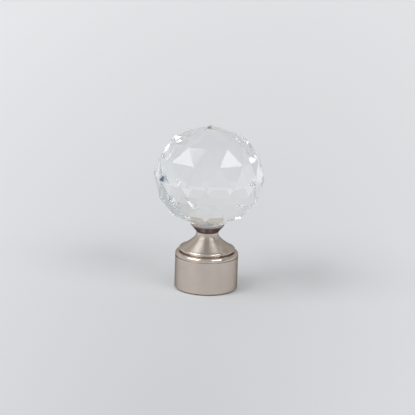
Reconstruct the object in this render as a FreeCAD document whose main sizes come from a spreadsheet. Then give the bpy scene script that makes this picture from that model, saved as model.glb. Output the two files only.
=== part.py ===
"""Curtain pole finial: a cut crystal ball bonded to a turned metal cap that slips over the end of a pole.

The origin is the centre of the cap's open rim. +Z runs along the pole's axis, from the rim to the ball.
Every size is in millimetres and stands in the sheet. A share is a part of the ball's radius.
"""
import FreeCAD, Part

import math
import os

import Sketcher

DOC = FreeCAD.newDocument("curtain_pole_finial")
SHEET = DOC.addObject("Spreadsheet::Sheet", "Sizes")

# Driving dimensions: alias, value and what it measures
DIMENSIONS = (
    ("pole_diameter", "25", "pole that the cap slips over"),
    ("pole_clearance", "0.15", "gap between pole and bore, on the radius"),
    ("cup_wall", "1.6", "wall round the bore"),
    ("cup_height", "14.9", "rim to the turned line under the shoulder"),
    ("cup_roof", "3", "metal between the bore's floor and the top of the shoulder"),
    ("rim_round", "0.8", "rounding of the rim's outer edge"),
    ("bore_lead", "0.4", "lead-in chamfer at the bore's mouth"),
    ("line_depth", "0.4", "depth of the turned line"),
    ("line_height", "0.4", "width of the turned line"),
    ("shoulder_height", "1.7", "shoulder ring above the turned line"),
    ("shoulder_round", "1.3", "rounding of the shoulder ring"),
    ("collar_step", "2.4", "shoulder's step in from the cup's side to the groove"),
    ("groove_height", "0.25", "groove between the shoulder and the bead"),
    ("bead_round", "0.78", "radius of the half-round bead"),
    ("foot_ledge", "0.1", "ledge between the bead and the foot of the flare"),
    ("flare_height", "5.3", "hollow flare, from the ledge to the neck"),
    ("flare_round", "27", "radius of the flare's hollow curve"),
    ("neck_radius", "5", "neck under the dish"),
    ("neck_height", "1.94", "straight part of the neck"),
    ("neck_round", "3", "rounding where the flare runs into the neck"),
    ("dish_flare", "2.5", "dish's reach past the neck"),
    ("dish_height", "3.05", "cone under the dish"),
    ("lip_height", "0.74", "straight lip round the dish"),
    ("lip_round", "0.15", "rounding of the lip's edges"),
    ("seat_margin", "0.4", "seat left bare round the ball's flat"),
    ("ball_diameter", "50", "ball across its girdle's corners"),
    ("row_one_angle", "22.9", "latitude of the first row of corners from the girdle, in degrees"),
    ("row_one_reach", "0.981", "distance of those corners from the ball's centre, as a share"),
    ("row_two_angle", "43.9", "latitude of the second row, in degrees"),
    ("row_two_reach", "0.963", "distance of the second row, as a share"),
    ("crown_angle", "56.7", "latitude of the crown row, in degrees"),
    ("crown_reach", "0.91", "distance of the crown row, as a share"),
    ("apex_reach", "0.936", "distance of the apex, as a share"),
    ("base_slope", "27.5", "fall of the base from the second row to the ground flat, in degrees"),
)

FACETS_ROUND = 12
# Shares of a wall that a rounding may take, so that it still fits when the wall shrinks
SHOULDER_SHARE = 0.9
LIP_SHARE = 0.4
RIM_SHARE = 0.6
LEAD_SHARE = 0.3
# Lengths closer than this are the same edge, and a cut's volume may be off by this share
EDGE_TOLERANCE = 1e-4
CUT_TOLERANCE = 1e-3


class Size:
    """A length known both as a number and as an expression on the sheet."""

    def __init__(self, number, text):
        self.number = number
        self.text = text

    def __add__(self, other):
        return Size(self.number + other.number, f"({self.text} + {other.text})")

    def __sub__(self, other):
        return Size(self.number - other.number, f"({self.text} - {other.text})")

    def times(self, factor):
        return Size(self.number * factor, f"({self.text} * {factor})")


def fill_sheet():
    """Writes each driving dimension, its alias and its meaning into the sheet."""
    for row, (alias, value, meaning) in enumerate(DIMENSIONS, start=1):
        SHEET.set(f"A{row}", meaning)
        SHEET.set(f"B{row}", value)
        SHEET.setAlias(f"B{row}", alias)
    DOC.recompute()


def size(alias):
    """The named dimension, as a number and as an expression."""
    return Size(float(SHEET.get(alias)), f"Sizes.{alias}")


def origin_plane(body, role):
    """The body's own origin plane with this role."""
    return next(plane for plane in body.Origin.OriginFeatures if plane.Role == role)


def new_sketch(body, name, role):
    """An empty sketch on one of the body's origin planes."""
    sketch = body.newObject("Sketcher::SketchObject", name)
    sketch.AttachmentSupport = [(origin_plane(body, role), "")]
    sketch.MapMode = "FlatFace"
    return sketch


def bind(sketch, constraint, name, length):
    """Adds a dimensional constraint and binds it to the sheet."""
    index = sketch.addConstraint(constraint)
    sketch.renameConstraint(index, name)
    sketch.setExpression(f"Constraints.{name}", length.text)


def arc_between(start, end, centre, turns_left):
    """The arc about a centre from one point to another, turning left or right."""
    first = math.atan2(start.y - centre.y, start.x - centre.x)
    last = math.atan2(end.y - centre.y, end.x - centre.x)
    circle = Part.Circle(centre, FreeCAD.Vector(0, 0, 1), (start - centre).Length)
    if turns_left:
        return Part.ArcOfCircle(circle, first, last)
    return Part.ArcOfCircle(circle, last, first)


def cap_levels():
    """Heights of the cap's steps above the rim, each as a sum of the steps under it."""
    level = {"line_foot": size("cup_height")}
    level["line_top"] = level["line_foot"] + size("line_height")
    level["shoulder"] = level["line_top"] + size("shoulder_height")
    level["bead_foot"] = level["shoulder"] + size("groove_height")
    level["bead_top"] = level["bead_foot"] + size("bead_round").times(2)
    level["neck_foot"] = level["bead_top"] + size("flare_height")
    level["neck_top"] = level["neck_foot"] + size("neck_height")
    level["dish_edge"] = level["neck_top"] + size("dish_height")
    level["seat"] = level["dish_edge"] + size("lip_height")
    return level


def cap_radii():
    """Radii of the cap's steps, worked out from the pole and the neck."""
    bore = size("pole_diameter").times(0.5) + size("pole_clearance")
    cup = bore + size("cup_wall")
    groove = cup - size("collar_step")
    neck = size("neck_radius")
    return {
        "bore": bore,
        "cup": cup,
        "line": cup - size("line_depth"),
        "groove": groove,
        "foot": groove - size("foot_ledge"),
        "neck": neck,
        "dish": neck + size("dish_flare"),
    }


def flare_centre(start, end, radius):
    """Centre of the hollow curve, on the outer side of the line from its foot to the neck."""
    along = end - start
    middle = (start + end) * 0.5
    outward = FreeCAD.Vector(along.y, -along.x, 0).normalize()
    return middle + outward * math.sqrt(radius**2 - (along.Length / 2) ** 2)


def draw_cap_outline(sketch, level, radius):
    """Half section of the cap's outside, from the rim's centre round to the seat's centre."""
    zero = Size(0.0, "0")
    corners = (
        ("rim_centre", zero, zero),
        ("rim", radius["cup"], zero),
        ("line_foot", radius["cup"], level["line_foot"]),
        ("line_floor", radius["line"], level["line_foot"]),
        ("line_roof", radius["line"], level["line_top"]),
        ("line_top", radius["cup"], level["line_top"]),
        ("shoulder", radius["cup"], level["shoulder"]),
        ("groove_floor", radius["groove"], level["shoulder"]),
        ("bead_foot", radius["groove"], level["bead_foot"]),
        ("bead_top", radius["groove"], level["bead_top"]),
        ("flare_foot", radius["foot"], level["bead_top"]),
        ("neck_foot", radius["neck"], level["neck_foot"]),
        ("neck_top", radius["neck"], level["neck_top"]),
        ("dish_edge", radius["dish"], level["dish_edge"]),
        ("lip_top", radius["dish"], level["seat"]),
        ("seat_centre", zero, level["seat"]),
    )
    points = [FreeCAD.Vector(across.number, up.number, 0) for _, across, up in corners]
    starts = {}
    ends = {}
    for index, (name, _, _) in enumerate(corners):
        after = (index + 1) % len(corners)
        start, end = points[index], points[after]
        if name == "bead_foot":
            shape = arc_between(start, end, (start + end) * 0.5, True)
            begin, finish = 1, 2
        elif name == "flare_foot":
            shape = arc_between(start, end, flare_centre(start, end, size("flare_round").number), False)
            begin, finish = 2, 1
        else:
            shape = Part.LineSegment(start, end)
            begin, finish = 1, 2
        line = sketch.addGeometry(shape)
        starts[name] = (line, begin)
        ends[corners[after][0]] = (line, finish)
    for name, across, up in corners:
        sketch.addConstraint(Sketcher.Constraint("Coincident", *ends[name], *starts[name]))
        if name == "rim_centre":
            sketch.addConstraint(Sketcher.Constraint("Coincident", *starts[name], -1, 1))
            continue
        if across is zero:
            sketch.addConstraint(Sketcher.Constraint("PointOnObject", *starts[name], -2))
        else:
            reach = Sketcher.Constraint("DistanceX", -1, 1, *starts[name], across.number)
            bind(sketch, reach, f"{name}_x", across)
        if up is zero:
            sketch.addConstraint(Sketcher.Constraint("PointOnObject", *starts[name], -1))
        else:
            lift = Sketcher.Constraint("DistanceY", -1, 1, *starts[name], up.number)
            bind(sketch, lift, f"{name}_y", up)
    bead = starts["bead_foot"][0]
    groove = radius["groove"]
    bind(sketch, Sketcher.Constraint("DistanceX", -1, 1, bead, 3, groove.number), "bead_x", groove)
    flare = starts["flare_foot"][0]
    flare_round = size("flare_round")
    bind(sketch, Sketcher.Constraint("Radius", flare, flare_round.number), "flare_round", flare_round)


def ring_edges(shape, radius, height):
    """Names of the shape's round edges of this radius at this height."""
    names = []
    for number, edge in enumerate(shape.Edges, start=1):
        if not isinstance(edge.Curve, Part.Circle):
            continue
        off = max(abs(edge.Curve.Radius - radius), abs(edge.Curve.Center.z - height))
        if off < EDGE_TOLERANCE:
            names.append(f"Edge{number}")
    return names


def dress_edges(body, kind, name, length, rings):
    """A fillet or chamfer, bound to the sheet, on the round edges given by radius and height."""
    base = body.Tip
    edges = [edge for ring in rings for edge in ring_edges(base.Shape, *ring)]
    assert len(edges) == len(rings), f"{name}: found {len(edges)} of {len(rings)} edges"
    feature = body.newObject(kind, name)
    feature.Base = (base, edges)
    feature.setExpression("Size" if kind.endswith("Chamfer") else "Radius", length)
    DOC.recompute()


def make_pole_cap(level, radius):
    """The cap, turned as one piece: cup, turned line, shoulder, bead, hollow flare, neck and dish."""
    body = DOC.addObject("PartDesign::Body", "pole_cap")
    body.Label = "pole_cap"
    outline = new_sketch(body, "cap_outline", "XZ_Plane")
    draw_cap_outline(outline, level, radius)
    turned = body.newObject("PartDesign::Revolution", "turned_outside")
    turned.Profile = outline
    turned.ReferenceAxis = (outline, ["V_Axis"])
    turned.Angle = 360
    DOC.recompute()
    solid_volume = body.Shape.Volume

    mouth = new_sketch(body, "bore_mouth", "XY_Plane")
    circle = mouth.addGeometry(Part.Circle(FreeCAD.Vector(), FreeCAD.Vector(0, 0, 1), radius["bore"].number))
    mouth.addConstraint(Sketcher.Constraint("Coincident", circle, 3, -1, 1))
    bind(mouth, Sketcher.Constraint("Radius", circle, radius["bore"].number), "bore_radius", radius["bore"])
    bore_depth = level["shoulder"] - size("cup_roof")
    bore = body.newObject("PartDesign::Pocket", "pole_bore")
    bore.Profile = mouth
    bore.setExpression("Length", bore_depth.text)
    bore.Reversed = True
    DOC.recompute()
    removed = solid_volume - body.Shape.Volume
    expected = math.pi * radius["bore"].number ** 2 * bore_depth.number
    assert abs(removed - expected) < CUT_TOLERANCE * expected, "the bore did not cut its full depth"

    cup, bore_wall, neck, dish = (radius[key].number for key in ("cup", "bore", "neck", "dish"))
    fillet, chamfer = "PartDesign::Fillet", "PartDesign::Chamfer"
    shoulder_round = f"min(Sizes.shoulder_round; {SHOULDER_SHARE} * Sizes.shoulder_height)"
    dress_edges(body, fillet, "rounded_shoulder", shoulder_round, [(cup, level["shoulder"].number)])
    dress_edges(body, fillet, "rounded_neck", "Sizes.neck_round", [(neck, level["neck_foot"].number)])
    lip_round = f"min(Sizes.lip_round; {LIP_SHARE} * Sizes.lip_height)"
    lip_edges = [(dish, level["dish_edge"].number), (dish, level["seat"].number)]
    dress_edges(body, fillet, "rounded_lip", lip_round, lip_edges)
    rim_round = f"min(Sizes.rim_round; {RIM_SHARE} * Sizes.cup_wall)"
    dress_edges(body, fillet, "rounded_rim", rim_round, [(cup, 0.0)])
    bore_lead = f"min(Sizes.bore_lead; {LEAD_SHARE} * Sizes.cup_wall)"
    dress_edges(body, chamfer, "bore_lead_in", bore_lead, [(bore_wall, 0.0)])
    return body


def corner_ring(radius, height, half_step):
    """One row of the ball's corners, in step with the girdle or half a facet round from it."""
    step = 2 * math.pi / FACETS_ROUND
    shift = step / 2 if half_step else 0.0
    return [
        FreeCAD.Vector(radius * math.cos(turn * step + shift), radius * math.sin(turn * step + shift), height)
        for turn in range(FACETS_ROUND)
    ]


def facet(*corners):
    """A flat face through its corners."""
    return Part.Face(Part.makePolygon(list(corners) + [corners[0]]))


def facet_band(inner, outer, outer_half_step):
    """The zigzag of triangles between one row of corners and the next row out from the girdle."""
    faces = []
    for turn in range(FACETS_ROUND):
        after = (turn + 1) % FACETS_ROUND
        if outer_half_step:
            faces.append(facet(inner[turn], inner[after], outer[turn]))
            faces.append(facet(outer[turn], inner[after], outer[after]))
        else:
            faces.append(facet(inner[turn], outer[after], outer[turn]))
            faces.append(facet(inner[turn], inner[after], outer[after]))
    return faces


def row_corners(ball, row):
    """Radius and height of a named row of corners above the girdle."""
    latitude = math.radians(size(f"{row}_angle").number)
    reach = ball * size(f"{row}_reach").number
    return reach * math.cos(latitude), reach * math.sin(latitude)


def make_crystal_ball(seat_height, seat_radius):
    """The ball: rows of triangular facets, a pointed crown above and a ground flat on the seat below."""
    ball = size("ball_diameter").number / 2
    first_row, second_row, crown_row = (row_corners(ball, row) for row in ("row_one", "row_two", "crown"))
    base_fall = math.tan(math.radians(size("base_slope").number))
    second_radius, second_height = second_row
    base_row = (crown_row[0], second_height + (second_radius - crown_row[0]) * base_fall)
    flat_depth = second_height + (second_radius - seat_radius) * base_fall

    girdle = corner_ring(ball, 0.0, False)
    faces = []
    last_ring = {}
    for side, rows in ((1, (first_row, second_row, crown_row)), (-1, (first_row, second_row, base_row))):
        inner = girdle
        for number, (radius, height) in enumerate(rows):
            half_step = number % 2 == 0
            outer = corner_ring(radius, side * height, half_step)
            faces.extend(facet_band(inner, outer, half_step))
            inner = outer
        last_ring[side] = inner

    apex = FreeCAD.Vector(0, 0, ball * size("apex_reach").number)
    flat = corner_ring(seat_radius, -flat_depth, True)
    for turn in range(FACETS_ROUND):
        after = (turn + 1) % FACETS_ROUND
        crown, base = last_ring[1], last_ring[-1]
        faces.append(facet(crown[turn], crown[after], apex))
        faces.append(facet(base[turn], base[after], flat[after], flat[turn]))
    faces.append(facet(*flat))

    shell = Part.makeShell(faces)
    shell.sewShape()
    solid = Part.Solid(shell)
    if solid.Volume < 0:
        solid.reverse()
    piece = DOC.addObject("Part::Feature", "crystal_ball")
    piece.Label = "crystal_ball"
    piece.Shape = solid
    piece.Placement = FreeCAD.Placement(FreeCAD.Vector(0, 0, seat_height + flat_depth), FreeCAD.Rotation())
    return piece


def check_document(pieces):
    """Stops the build if any object failed or any piece is not one valid solid."""
    for item in DOC.Objects:
        failed = {"Invalid", "Error"} & set(item.State)
        assert not failed, f"{item.Name}: {failed}"
    for piece in pieces:
        shape = piece.Shape
        assert not shape.isNull() and shape.isValid(), f"{piece.Label}: bad shape"
        assert len(shape.Solids) == 1, f"{piece.Label}: {len(shape.Solids)} solids"


def write_pieces(pieces):
    """Writes each piece to its own file, named after its label."""
    os.makedirs("parts", exist_ok=True)
    for piece in pieces:
        piece.Shape.exportStep(f"parts/{piece.Label}.step")
        box = piece.Shape.BoundBox
        print(f"{piece.Label}: {piece.Shape.Volume:.0f} mm3, z {box.ZMin:.2f} to {box.ZMax:.2f}")


fill_sheet()
LEVEL = cap_levels()
RADIUS = cap_radii()
CAP = make_pole_cap(LEVEL, RADIUS)
BALL = make_crystal_ball(LEVEL["seat"].number, RADIUS["dish"].number - size("seat_margin").number)
DOC.recompute()
check_document((CAP, BALL))
write_pieces((CAP, BALL))
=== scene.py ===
"""Looks of a curtain pole finial: a cut crystal ball on a satin nickel cap, in a pale studio."""

from __future__ import annotations

import logging
import math
from dataclasses import dataclass
from enum import Enum

import bmesh
import bpy
from mathutils import Matrix, Vector

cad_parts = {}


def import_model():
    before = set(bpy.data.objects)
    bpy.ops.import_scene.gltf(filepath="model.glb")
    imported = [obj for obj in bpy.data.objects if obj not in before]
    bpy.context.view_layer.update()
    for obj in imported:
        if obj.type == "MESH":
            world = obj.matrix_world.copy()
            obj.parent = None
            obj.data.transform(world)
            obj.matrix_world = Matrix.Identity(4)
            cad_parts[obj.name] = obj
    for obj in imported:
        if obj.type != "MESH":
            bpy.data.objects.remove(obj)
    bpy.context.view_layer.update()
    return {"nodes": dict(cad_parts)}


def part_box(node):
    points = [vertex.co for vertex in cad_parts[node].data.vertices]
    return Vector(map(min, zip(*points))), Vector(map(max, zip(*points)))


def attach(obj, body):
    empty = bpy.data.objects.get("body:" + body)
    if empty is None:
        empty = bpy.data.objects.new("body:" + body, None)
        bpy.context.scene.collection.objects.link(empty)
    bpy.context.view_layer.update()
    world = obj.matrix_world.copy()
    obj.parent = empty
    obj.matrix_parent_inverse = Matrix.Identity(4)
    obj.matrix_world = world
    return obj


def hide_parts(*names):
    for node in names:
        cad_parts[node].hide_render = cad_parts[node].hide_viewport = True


LOG = logging.getLogger("finial")

Link = bpy.types.NodeSocket
Span = tuple[float, float]
Triple = tuple[float, float, float]
Colour = Triple

MM = 0.001
LIGHT_BOUNCES = 32
NOISE_SPAN: Span = (0.3, 0.7)
NONE_TO_ALL: Span = (0.0, 1.0)
ALL_TO_NONE: Span = (1.0, 0.0)
UNSTRETCHED: Triple = (1.0, 1.0, 1.0)
WHITE: Colour = (1.0, 1.0, 1.0)


def opaque(colour: Colour) -> tuple[float, float, float, float]:
    """A colour with full alpha.

    Args:
        colour: Red, green and blue.

    Returns:
        The same with an alpha of 1.
    """
    return (*colour, 1.0)


def view_direction(azimuth: float, elevation: float) -> Vector:
    """Direction from the object to a viewer.

    Args:
        azimuth: Degrees round from the front, to the right.
        elevation: Degrees above the level.

    Returns:
        A unit vector.
    """
    turn, lift = math.radians(azimuth), math.radians(elevation)
    level = math.cos(lift)
    return Vector((math.sin(turn) * level, -math.cos(turn) * level, math.sin(lift)))


def facing(place: Vector, target: Vector) -> Matrix:
    """Placement of a lamp or camera that looks at a target.

    Args:
        place: Where it stands.
        target: What it looks at.

    Returns:
        Its matrix.
    """
    turn = (target - place).to_track_quat("-Z", "Y")
    return Matrix.Translation(place) @ turn.to_matrix().to_4x4()


class Socket(Enum):
    """Sockets of the main surface shader, by the names that the shader gives them."""

    COLOUR = "Base Color"
    METAL = "Metallic"
    ROUGHNESS = "Roughness"
    IOR = "IOR"
    GLASS = "Transmission Weight"
    NORMAL = "Normal"
    ANISOTROPY = "Anisotropic"
    SPREAD_TURN = "Anisotropic Rotation"
    TANGENT = "Tangent"
    SPECULAR = "Specular IOR Level"
    EDGE_TINT = "Specular Tint"


class Wiring:
    """A node tree, with short calls to add nodes and join them.

    Attributes:
        tree: The tree of a material or of the world.
    """

    def __init__(self, tree: bpy.types.NodeTree) -> None:
        """Empties the tree.

        Args:
            tree: The tree of a material or of the world.
        """
        self.tree = tree
        self.tree.nodes.clear()

    def add(self, kind: str, **settings: object) -> bpy.types.Node:
        """Adds a node.

        Args:
            kind: The node's type name.
            settings: Properties of the node, by name.

        Returns:
            The new node.
        """
        node = self.tree.nodes.new(kind)
        for key, value in settings.items():
            setattr(node, key, value)
        return node

    def join(self, source: Link, target: Link) -> None:
        """Joins an output to an input.

        Args:
            source: The output.
            target: The input.
        """
        self.tree.links.new(source, target)

    def ramp(self, value: Link, span: Span, result: Span, soft: bool = False) -> Link:
        """Stretches a value from one range to another, and holds it beyond the ends.

        Args:
            value: The value.
            span: Range that the value is read over.
            result: Results at the ends of that range.
            soft: Whether the change eases in and out.

        Returns:
            The stretched value.
        """
        easing = "SMOOTHSTEP" if soft else "LINEAR"
        node = self.add("ShaderNodeMapRange", interpolation_type=easing)
        node.inputs["From Min"].default_value, node.inputs["From Max"].default_value = span
        node.inputs["To Min"].default_value, node.inputs["To Max"].default_value = result
        self.join(value, node.inputs["Value"])
        return node.outputs["Result"]

    def between(self, share: Link, first: Link, second: Link) -> Link:
        """Mixes two values.

        Args:
            share: Share of the second value, from 0 to 1.
            first: Value at share 0.
            second: Value at share 1.

        Returns:
            The mixed value.
        """
        node = self.add("ShaderNodeMix", data_type="FLOAT")
        self.join(share, node.inputs["Factor"])
        self.join(first, node.inputs["A"])
        self.join(second, node.inputs["B"])
        return node.outputs["Result"]

    def times(self, first: Link, second: Link) -> Link:
        """Multiplies two values.

        Args:
            first: One value.
            second: The other value.

        Returns:
            Their product.
        """
        node = self.add("ShaderNodeMath", operation="MULTIPLY")
        self.join(first, node.inputs[0])
        self.join(second, node.inputs[1])
        return node.outputs["Value"]

    def tinted(self, share: Link, colour: Link, tint: Colour) -> Link:
        """Moves a colour toward a fixed tint.

        Args:
            share: Share of the tint, from 0 to 1.
            colour: Colour at share 0.
            tint: Colour at share 1.

        Returns:
            The mixed colour.
        """
        node = self.add("ShaderNodeMix", data_type="RGBA")
        sockets = {socket.identifier: socket for socket in node.inputs}
        self.join(share, sockets["Factor_Float"])
        self.join(colour, sockets["A_Color"])
        sockets["B_Color"].default_value = opaque(tint)
        return next(socket for socket in node.outputs if socket.identifier == "Result_Color")

    def blend(self, value: Link, low: Colour, high: Colour, span: Span) -> Link:
        """Mixes two fixed colours by a value.

        Args:
            value: The value.
            low: Colour at the low end of the span.
            high: Colour at the high end of the span.
            span: Range that the value is read over.

        Returns:
            The mixed colour.
        """
        node = self.add("ShaderNodeValToRGB")
        first, last = node.color_ramp.elements
        first.position, last.position = span
        first.color, last.color = opaque(low), opaque(high)
        self.join(value, node.inputs["Fac"])
        return node.outputs["Color"]

    def place(self, scale: Triple = UNSTRETCHED, shift: Triple = (0.0, 0.0, 0.0)) -> Link:
        """Object coordinates, stretched and then shifted.

        Args:
            scale: Factor along each axis.
            shift: What is added along each axis.

        Returns:
            The coordinates.
        """
        coordinates = self.add("ShaderNodeTexCoord")
        mapping = self.add("ShaderNodeMapping")
        mapping.inputs["Scale"].default_value = scale
        mapping.inputs["Location"].default_value = shift
        self.join(coordinates.outputs["Object"], mapping.inputs["Vector"])
        return mapping.outputs["Vector"]

    def axes(self, vector: Link) -> tuple[Link, Link, Link]:
        """Splits a vector.

        Args:
            vector: The vector.

        Returns:
            Its X, Y and Z.
        """
        node = self.add("ShaderNodeSeparateXYZ")
        self.join(vector, node.inputs["Vector"])
        return node.outputs["X"], node.outputs["Y"], node.outputs["Z"]

    def noise(self, vector: Link, cells: float, layers: float) -> Link:
        """Noise at a place.

        Args:
            vector: Where the noise is read.
            cells: Cells to the unit.
            layers: Number of finer layers.

        Returns:
            The value, mostly between the ends of NOISE_SPAN.
        """
        node = self.add("ShaderNodeTexNoise")
        node.inputs["Scale"].default_value = cells
        node.inputs["Detail"].default_value = layers
        self.join(vector, node.inputs["Vector"])
        return node.outputs["Fac"]


class Surface(Wiring):
    """A material with one main shader.

    Attributes:
        material: The material.
        output: Its output node.
        shader: Its main shader.
    """

    def __init__(self, name: str) -> None:
        """Starts the material.

        Args:
            name: The material's name.
        """
        self.material = bpy.data.materials.new(name)
        self.material.use_nodes = True
        super().__init__(self.material.node_tree)
        self.output = self.add("ShaderNodeOutputMaterial")
        self.shader = self.add("ShaderNodeBsdfPrincipled")
        self.join(self.shader.outputs["BSDF"], self.output.inputs["Surface"])

    def set(self, socket: Socket, value: object) -> None:
        """Sets a constant on the main shader.

        Args:
            socket: Where it goes.
            value: The constant.
        """
        self.shader.inputs[socket.value].default_value = value

    def feed(self, source: Link, socket: Socket) -> None:
        """Joins an output to the main shader.

        Args:
            source: The output.
            socket: Where it goes.
        """
        self.join(source, self.shader.inputs[socket.value])

    def bump(self, height: Link, strength: float, distance: float) -> None:
        """Feeds a height to the main shader as bump.

        Args:
            height: The height, from 0 to 1.
            strength: Share of the bump that shows.
            distance: Depth of the bump in metres.
        """
        node = self.add("ShaderNodeBump")
        node.inputs["Strength"].default_value = strength
        node.inputs["Distance"].default_value = distance
        self.join(height, node.inputs["Height"])
        self.feed(node.outputs["Normal"], Socket.NORMAL)


@dataclass(frozen=True)
class ClearCrystal:
    """Polished clear glass with a trace of haze and a faint cool tint in its depth.

    Attributes:
        ior: Index of refraction.
        depth_tint: Colour that white light turns to in the depth.
        depth_density: How fast it turns to that colour.
        haze: Roughness where the polish is best and where it is haziest.
        haze_cells: Cells of the haze to the metre.
        haze_layers: Number of finer layers of the haze.
        ripple_depth: Depth of the ripple that polishing leaves.
        ripple_share: Share of the ripple that shows.
        ripple_cells: Cells of the ripple to the metre.
        ripple_layers: Number of finer layers of the ripple.
    """

    ior: float = 1.52
    depth_tint: Colour = (0.80, 0.93, 0.91)
    depth_density: float = 1.6
    haze: Span = (0.045, 0.075)
    haze_cells: float = 160.0
    haze_layers: float = 3.0
    ripple_depth: float = 0.004 * MM
    ripple_share: float = 0.3
    ripple_cells: float = 90.0
    ripple_layers: float = 1.0

    def material(self) -> bpy.types.Material:
        """The finish as a material.

        Returns:
            The material.
        """
        surface = Surface("clear_crystal")
        surface.set(Socket.COLOUR, opaque(WHITE))
        surface.set(Socket.GLASS, 1.0)
        surface.set(Socket.IOR, self.ior)
        place = surface.place()
        haze = surface.noise(place, self.haze_cells, self.haze_layers)
        surface.feed(surface.ramp(haze, NOISE_SPAN, self.haze), Socket.ROUGHNESS)
        ripple = surface.noise(place, self.ripple_cells, self.ripple_layers)
        surface.bump(ripple, self.ripple_share, self.ripple_depth)
        depth = surface.add("ShaderNodeVolumeAbsorption")
        depth.inputs["Color"].default_value = opaque(self.depth_tint)
        depth.inputs["Density"].default_value = self.depth_density
        surface.join(depth.outputs["Volume"], surface.output.inputs["Volume"])
        return surface.material


@dataclass(frozen=True)
class SatinNickel:
    """Warm nickel plate with fine turning marks round the axis.

    The flare is brushed, the cup and the neck are finer, and the dish is smooth. Under the dish's
    lip the plate's colour is darkened with painted shade.

    Attributes:
        pale: Colour of the palest plate.
        deep: Colour of the deepest plate.
        painted_shade: Painted shade, the colour that the plate is darkened to under the lip.
        edge: Tint of what it mirrors at a grazing angle.
        cup: Roughness of the cup and the neck, from the finest to the coarsest marks.
        flare: Roughness of the flare, from the finest to the coarsest marks.
        dish: Roughness of the dish, from the finest to the coarsest marks.
        flare_foot: Height where the flare starts.
        neck_foot: Height where the neck starts.
        dish_foot: Height where the dish starts.
        lip_foot: Height where the dish's lip starts.
        fade: Height over which one finish runs into the next.
        anisotropy: How much wider the highlights spread along the profile than round it.
        quarter_turn: Turn that lays this spread along the profile.
        mark_depth: Depth of the turning marks.
        mark_share: Share of the turning marks that shows.
        mark_stretch: Factors along the axes that draw the noise out into marks.
        mark_cells: Cells of the marks to the stretched unit.
        cloud_cells: Cells of the plate's colour to the metre.
        layers: Number of finer layers of both.
    """

    pale: Colour = (0.71, 0.63, 0.56)
    deep: Colour = (0.67, 0.59, 0.52)
    painted_shade: Colour = (0.25, 0.21, 0.212)
    edge: Colour = (0.47, 0.43, 0.40)
    cup: Span = (0.20, 0.26)
    flare: Span = (0.34, 0.40)
    dish: Span = (0.10, 0.14)
    flare_foot: float = 18.8 * MM
    neck_foot: float = 24.9 * MM
    dish_foot: float = 26.1 * MM
    lip_foot: float = 29.6 * MM
    fade: float = 0.2 * MM
    anisotropy: float = 0.90
    quarter_turn: float = 0.25
    mark_depth: float = 0.003 * MM
    mark_share: float = 0.25
    mark_stretch: Triple = (20.0, 20.0, 3000.0)
    mark_cells: float = 2.0
    cloud_cells: float = 220.0
    layers: float = 4.0

    def material(self) -> bpy.types.Material:
        """The finish as a material.

        Returns:
            The material.
        """
        surface = Surface("satin_nickel")
        surface.set(Socket.METAL, 1.0)
        surface.set(Socket.ANISOTROPY, self.anisotropy)
        surface.set(Socket.SPREAD_TURN, self.quarter_turn)
        surface.set(Socket.EDGE_TINT, opaque(self.edge))
        marks = surface.noise(surface.place(self.mark_stretch), self.mark_cells, self.layers)
        place = surface.place()
        _, _, height = surface.axes(place)
        above = {
            foot: surface.ramp(height, (foot - self.fade, foot + self.fade), NONE_TO_ALL)
            for foot in (self.flare_foot, self.neck_foot, self.dish_foot)
        }

        roughness = surface.ramp(marks, NOISE_SPAN, self.cup)
        steps = (
            (self.flare_foot, self.flare),
            (self.neck_foot, self.cup),
            (self.dish_foot, self.dish),
        )
        for foot, span in steps:
            next_finish = surface.ramp(marks, NOISE_SPAN, span)
            roughness = surface.between(above[foot], roughness, next_finish)
        surface.feed(roughness, Socket.ROUGHNESS)

        # Painted shade: under the dish's lip the plate's colour is pulled toward a darker colour.
        lip_fade = (self.lip_foot - self.fade, self.lip_foot)
        under_lip = surface.ramp(height, lip_fade, ALL_TO_NONE)
        painted_shade_mask = surface.times(above[self.dish_foot], under_lip)
        cloud = surface.noise(place, self.cloud_cells, self.layers)
        plate = surface.blend(cloud, self.deep, self.pale, NOISE_SPAN)
        surface.feed(surface.tinted(painted_shade_mask, plate, self.painted_shade), Socket.COLOUR)
        surface.bump(marks, self.mark_share, self.mark_depth)
        tangent = surface.add("ShaderNodeTangent", direction_type="RADIAL", axis="Z")
        surface.feed(tangent.outputs["Tangent"], Socket.TANGENT)
        return surface.material


@dataclass(frozen=True)
class PaperFinish:
    """Pale paper of the studio's floor, with painted shade greyest a little in front of the
    object.

    Attributes:
        pale: Colour far from the painted shade.
        shaded_grey: Colour of the painted shade at its middle.
        roughness: Roughness of the paper.
        gloss: How much the paper mirrors.
        shade_reach: Metres that the painted shade reaches along each axis.
        shade_front: Metres that its middle lies in front of the object.
    """

    pale: Colour = (0.86, 0.87, 0.886)
    shaded_grey: Colour = (0.585, 0.595, 0.611)
    roughness: float = 0.9
    gloss: float = 0.1
    shade_reach: Triple = (0.25, 1.0, 0.75)
    shade_front: float = 0.25

    def material(self) -> bpy.types.Material:
        """The finish as a material.

        Returns:
            The material.
        """
        surface = Surface("floor_paper")
        surface.set(Socket.ROUGHNESS, self.roughness)
        surface.set(Socket.SPECULAR, self.gloss)
        # Painted shade: a spherical patch greys the paper most a little in front of the object.
        across, along, up = (1.0 / reach for reach in self.shade_reach)
        place = surface.place((across, along, up), (0.0, self.shade_front * along, 0.0))
        shade_patch = surface.add("ShaderNodeTexGradient", gradient_type="SPHERICAL")
        surface.join(place, shade_patch.inputs["Vector"])
        shade = surface.blend(shade_patch.outputs["Fac"], self.pale, self.shaded_grey, NONE_TO_ALL)
        surface.feed(shade, Socket.COLOUR)
        return surface.material


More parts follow.
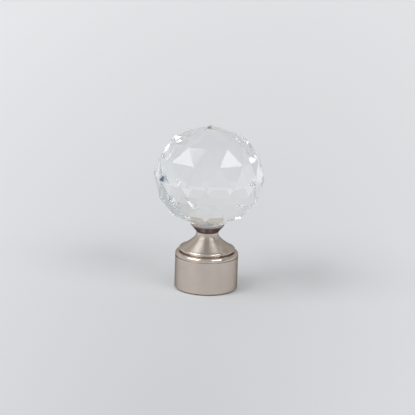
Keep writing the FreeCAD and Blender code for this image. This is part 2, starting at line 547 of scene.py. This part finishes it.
@dataclass(frozen=True)
class CutBall:
    """The crystal ball, recut from the frame's solid with its edges softened as by polishing.

    Its ground flat reaches a hair into the cap's seat, so that no air shows between the glass and
    the metal.

    Attributes:
        finish: The glass.
        edge_width: How far a softened edge reaches into each of its facets.
        edge_profile: Shape of a softened edge, where 0.5 is round.
        weld_distance: Corners nearer than this are one corner.
        bond_depth: How far the ground flat reaches into the seat.
        flat_angle: Faces that meet at less than this angle are one facet.
    """

    finish: ClearCrystal
    edge_width: float = 0.10 * MM
    edge_profile: float = 0.5
    weld_distance: float = 0.001 * MM
    bond_depth: float = 0.03 * MM
    flat_angle: float = math.radians(0.5)

    def build(self, solid: bpy.types.Object) -> None:
        """Makes the ball in place of the solid, with flat facets and softened edges.

        Args:
            solid: The ball's solid in the frame.
        """
        mesh = self.recut(solid.data)
        mesh.materials.append(self.finish.material())
        ball = bpy.data.objects.new("cut_crystal_ball", mesh)
        bpy.context.scene.collection.objects.link(ball)
        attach(ball, "root")
        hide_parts("crystal_ball")
        LOG.info("ball: %d faces", len(mesh.polygons))

    def recut(self, source: bpy.types.Mesh) -> bpy.types.Mesh:
        """Joins a solid's triangles into facets and softens their edges.

        Args:
            source: The solid's mesh.

        Returns:
            The new mesh.
        """
        cut = bmesh.new()
        cut.from_mesh(source)
        bmesh.ops.remove_doubles(cut, verts=cut.verts, dist=self.weld_distance)
        bmesh.ops.dissolve_limit(
            cut, angle_limit=self.flat_angle, verts=cut.verts, edges=cut.edges
        )
        bmesh.ops.bevel(
            cut,
            geom=cut.edges[:],
            offset=self.edge_width,
            offset_type="OFFSET",
            segments=1,
            profile=self.edge_profile,
            affect="EDGES",
            clamp_overlap=True,
        )
        foot = min(corner.co.z for corner in cut.verts)
        for corner in cut.verts:
            if corner.co.z < foot + self.weld_distance:
                corner.co.z -= self.bond_depth
        for face in cut.faces:
            face.smooth = False
        mesh = bpy.data.meshes.new("cut_crystal_ball")
        cut.to_mesh(mesh)
        cut.free()
        return mesh


@dataclass(frozen=True)
class PoleCap:
    """The turned cap, which keeps the frame's solid and gets its plating.

    Attributes:
        finish: The plating.
    """

    finish: SatinNickel

    def dress(self, solid: bpy.types.Object) -> None:
        """Plates the cap.

        Args:
            solid: The cap's solid in the frame.
        """
        solid.data.materials.clear()
        solid.data.materials.append(self.finish.material())
        LOG.info("cap: %d faces", len(solid.data.polygons))


@dataclass(frozen=True)
class StudioFloor:
    """A flat sheet of pale paper under the object.

    Attributes:
        finish: The paper.
        half_width: Metres from its middle to its edges.
        hair_gap: Gap under the rim, whose shadow draws the rim's lower edge.
    """

    finish: PaperFinish
    half_width: float = 1.2
    hair_gap: float = 0.25 * MM

    def build(self) -> None:
        """Makes the sheet."""
        signs = ((-1, -1), (1, -1), (1, 1), (-1, 1))
        corners = [(x * self.half_width, y * self.half_width, -self.hair_gap) for x, y in signs]
        mesh = bpy.data.meshes.new("studio_floor")
        mesh.from_pydata(corners, [], [(0, 1, 2, 3)])
        sheet = bpy.data.objects.new("studio_floor", mesh)
        bpy.context.scene.collection.objects.link(sheet)
        mesh.materials.append(self.finish.material())


@dataclass(frozen=True)
class Softbox:
    """A lamp with a wide flat face, turned to the object.

    Attributes:
        name: The lamp's name.
        azimuth: Degrees round from the front, to the right.
        elevation: Degrees above the level.
        half_width: Degrees from the middle of its face to its sides, seen from the object.
        half_height: Degrees from the middle of its face to its top and bottom.
        glow: How bright its face looks, where 1 is white.
        distance: Metres from the object.
    """

    name: str
    azimuth: float
    elevation: float
    half_width: float
    half_height: float
    glow: float
    distance: float = 4.0

    def build(self, target: Vector) -> None:
        """Hangs the lamp.

        Args:
            target: Point that it faces.
        """
        lamp = bpy.data.lights.new(self.name, "AREA")
        lamp.shape = "RECTANGLE"
        lamp.size = 2 * self.distance * math.tan(math.radians(self.half_width))
        lamp.size_y = 2 * self.distance * math.tan(math.radians(self.half_height))
        lamp.energy = self.glow * math.pi * lamp.size * lamp.size_y
        holder = bpy.data.objects.new(self.name, lamp)
        bpy.context.scene.collection.objects.link(holder)
        away = view_direction(self.azimuth, self.elevation)
        holder.matrix_world = facing(target + away * self.distance, target)


SOFTBOXES = (
    Softbox(
        "softbox_left",
        azimuth=-70.0,
        elevation=47.0,
        half_width=10.5,
        half_height=15.5,
        glow=4.0,
    ),
    Softbox(
        "softbox_side",
        azimuth=-42.0,
        elevation=42.0,
        half_width=11.0,
        half_height=10.5,
        glow=4.6,
    ),
    Softbox(
        "softbox_right",
        azimuth=49.0,
        elevation=42.5,
        half_width=16.0,
        half_height=10.0,
        glow=4.3,
    ),
)


@dataclass(frozen=True)
class RoomLight:
    """Light of the room, by its direction from the object.

    The walls are pale, and the ceiling is dim. High on the wall behind the object runs a warm beam
    with a brighter band over it. A dim doorway is on the camera's side, to the right.

    The spans are read on the unit vector to each place in the room: heights on its Z, depths on
    its Y and places across on its X.

    Attributes:
        colour: Tint of the light.
        wall_back: Brightness behind the object.
        horizon_gain: How much brighter the foot of that wall is, where it meets the floor.
        high_gain: How much brighter the band over the beam is.
        ceiling_back: Brightness overhead behind the object, before the gain of the band.
        low_front: Brightness near the floor behind the camera.
        wall_front: Brightness behind the camera.
        ceiling_front: Brightness overhead, on the camera's side.
        right_share: Share of the brightness that is left on the right.
        beam_colour: Tint of the light from the warm beam.
        doorway_colour: Tint of the light in the doorway, a share of the wall's.
        doorway_azimuth: Degrees round to the doorway.
        doorway_elevation: Degrees up to its middle.
        doorway_fade: Cosines of the angles from its middle where it starts and where it is full.
        front_rise: Heights over which the front brightens from the floor up.
        front_fall: Heights over which it dims toward the ceiling.
        front_turn: Heights over which the rise gives way to the fall.
        foot_fade: Heights over which the gain of the wall's foot fades.
        high_start: Heights over which the brighter band sets in.
        ceiling_start: Heights over which the wall behind the object runs into the ceiling.
        beam_start: Heights over which the beam sets in.
        beam_end: Heights over which it ends.
        back_start: Depths over which the front runs into the back.
        right_fade: Places across over which the brightness falls to the right.
        right_lift: Heights over which that fall sets in.
    """

    colour: Colour = (0.97, 0.985, 1.0)
    wall_back: float = 0.67
    horizon_gain: float = 1.08
    high_gain: float = 1.35
    ceiling_back: float = 0.32
    low_front: float = 0.35
    wall_front: float = 0.67
    ceiling_front: float = 0.56
    right_share: float = 0.72
    beam_colour: Colour = (0.716, 0.627, 0.507)
    doorway_colour: Colour = (0.13, 0.21, 0.35)
    doorway_azimuth: float = 54.0
    doorway_elevation: float = 14.0
    doorway_fade: Span = (0.92, 0.975)
    front_rise: Span = (0.0, 0.4)
    front_fall: Span = (0.4, 0.9)
    front_turn: Span = (0.39, 0.41)
    foot_fade: Span = (0.0, 0.18)
    high_start: Span = (0.70, 0.74)
    ceiling_start: Span = (0.76, 0.83)
    beam_start: Span = (0.56, 0.60)
    beam_end: Span = (0.68, 0.72)
    back_start: Span = (-0.3, 0.4)
    right_fade: Span = (-0.2, 0.7)
    right_lift: Span = (0.02, 0.2)

    def build(self) -> None:
        """Makes the world."""
        world = bpy.data.worlds.new("room")
        bpy.context.scene.world = world
        world.use_nodes = True
        wiring = Wiring(world.node_tree)
        output = wiring.add("ShaderNodeOutputWorld")
        light = wiring.add("ShaderNodeBackground")
        wiring.join(light.outputs["Background"], output.inputs["Surface"])

        direction = wiring.add("ShaderNodeTexCoord").outputs["Generated"]
        across, depth, height = wiring.axes(direction)
        behind = wiring.ramp(depth, self.back_start, NONE_TO_ALL, soft=True)
        lift = wiring.ramp(height, self.right_lift, NONE_TO_ALL)
        rightward = wiring.times(across, lift)
        side = wiring.ramp(rightward, self.right_fade, (1.0, self.right_share), soft=True)
        strength = wiring.times(self.walls(wiring, height, behind), side)
        wiring.join(strength, light.inputs["Strength"])
        tint = self.tint(wiring, direction, height, behind)
        wiring.join(tint, light.inputs["Color"])

    def walls(self, wiring: Wiring, height: Link, behind: Link) -> Link:
        """Brightness of the walls and the ceiling.

        Args:
            wiring: The world's nodes.
            height: Height in the room.
            behind: Share of the back, from 0 to 1.

        Returns:
            The brightness.
        """
        low, middle, top = self.low_front, self.wall_front, self.ceiling_front
        rise = wiring.ramp(height, self.front_rise, (low, middle), soft=True)
        fall = wiring.ramp(height, self.front_fall, (middle, top))
        upper = wiring.ramp(height, self.front_turn, NONE_TO_ALL)
        front = wiring.between(upper, rise, fall)

        span = (self.wall_back, self.ceiling_back)
        back = wiring.ramp(height, self.ceiling_start, span, soft=True)
        foot = wiring.ramp(height, self.foot_fade, (self.horizon_gain, 1.0))
        band = wiring.ramp(height, self.high_start, (1.0, self.high_gain))
        back = wiring.times(wiring.times(back, foot), band)
        return wiring.between(behind, front, back)

    def tint(self, wiring: Wiring, direction: Link, height: Link, behind: Link) -> Link:
        """Colour of the light, with the doorway and the beam.

        Args:
            wiring: The world's nodes.
            direction: Direction in the room.
            height: Height in the room.
            behind: Share of the back, from 0 to 1.

        Returns:
            The colour.
        """
        near = wiring.add("ShaderNodeVectorMath", operation="DOT_PRODUCT")
        wiring.join(direction, near.inputs[0])
        doorway = view_direction(self.doorway_azimuth, self.doorway_elevation)
        near.inputs[1].default_value = doorway
        fade = self.doorway_fade
        plain = wiring.blend(near.outputs["Value"], self.colour, self.doorway_colour, fade)
        start = wiring.ramp(height, self.beam_start, NONE_TO_ALL)
        end = wiring.ramp(height, self.beam_end, ALL_TO_NONE)
        beam = wiring.times(wiring.times(start, end), behind)
        return wiring.tinted(beam, plain, self.beam_colour)


@dataclass(frozen=True)
class PhotoCamera:
    """A long lens a little above the object, slightly rolled, as the photograph was taken.

    Attributes:
        azimuth: Degrees round from the front.
        elevation: Degrees above the level, seen from the aim.
        roll: Degrees that the object leans to the right in the picture.
        distance: Metres from the aim.
        span: Metres that the picture's width covers at the aim.
        aim_height: Height of the aim above the rim.
        aim_left: How far the aim lies to the left of the axis.
        sensor: Width of the sensor in millimetres.
        clip: Metres from the camera between which things show.
    """

    azimuth: float = 3.5
    elevation: float = 15.7
    roll: float = 1.9
    distance: float = 1.5
    span: float = 0.1867
    aim_height: float = 37.09 * MM
    aim_left: float = 0.34 * MM
    sensor: float = 36.0
    clip: Span = (0.05, 20.0)

    def build(self) -> None:
        """Makes the camera and gives it to the scene."""
        turn = math.radians(self.azimuth)
        right = Vector((math.cos(turn), math.sin(turn), 0.0))
        aim = Vector((0.0, 0.0, self.aim_height)) - right * self.aim_left
        away = view_direction(self.azimuth, self.elevation)
        data = bpy.data.cameras.new("photo_camera")
        data.sensor_fit = "HORIZONTAL"
        data.sensor_width = self.sensor
        data.lens = self.sensor * self.distance / self.span
        data.clip_start, data.clip_end = self.clip
        camera = bpy.data.objects.new("photo_camera", data)
        bpy.context.scene.collection.objects.link(camera)
        lean = Matrix.Rotation(math.radians(self.roll), 4, "Z")
        camera.matrix_world = facing(aim + away * self.distance, aim) @ lean
        bpy.context.scene.camera = camera


def main() -> None:
    """Builds the looks round the frame."""
    logging.basicConfig(level=logging.INFO, format="%(name)s: %(message)s")
    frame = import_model()
    scene = bpy.context.scene
    scene.view_settings.view_transform = "Standard"
    scene.cycles.max_bounces = LIGHT_BOUNCES
    scene.cycles.glossy_bounces = LIGHT_BOUNCES
    scene.cycles.transmission_bounces = LIGHT_BOUNCES

    CutBall(ClearCrystal()).build(frame["nodes"]["crystal_ball"])
    PoleCap(SatinNickel()).dress(frame["nodes"]["pole_cap"])
    StudioFloor(PaperFinish()).build()
    RoomLight().build()

    PhotoCamera().build()
    low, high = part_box("crystal_ball")
    ball_centre = (Vector(low) + Vector(high)) / 2
    for softbox in SOFTBOXES:
        softbox.build(ball_centre)


if __name__ == "__main__":
    main()
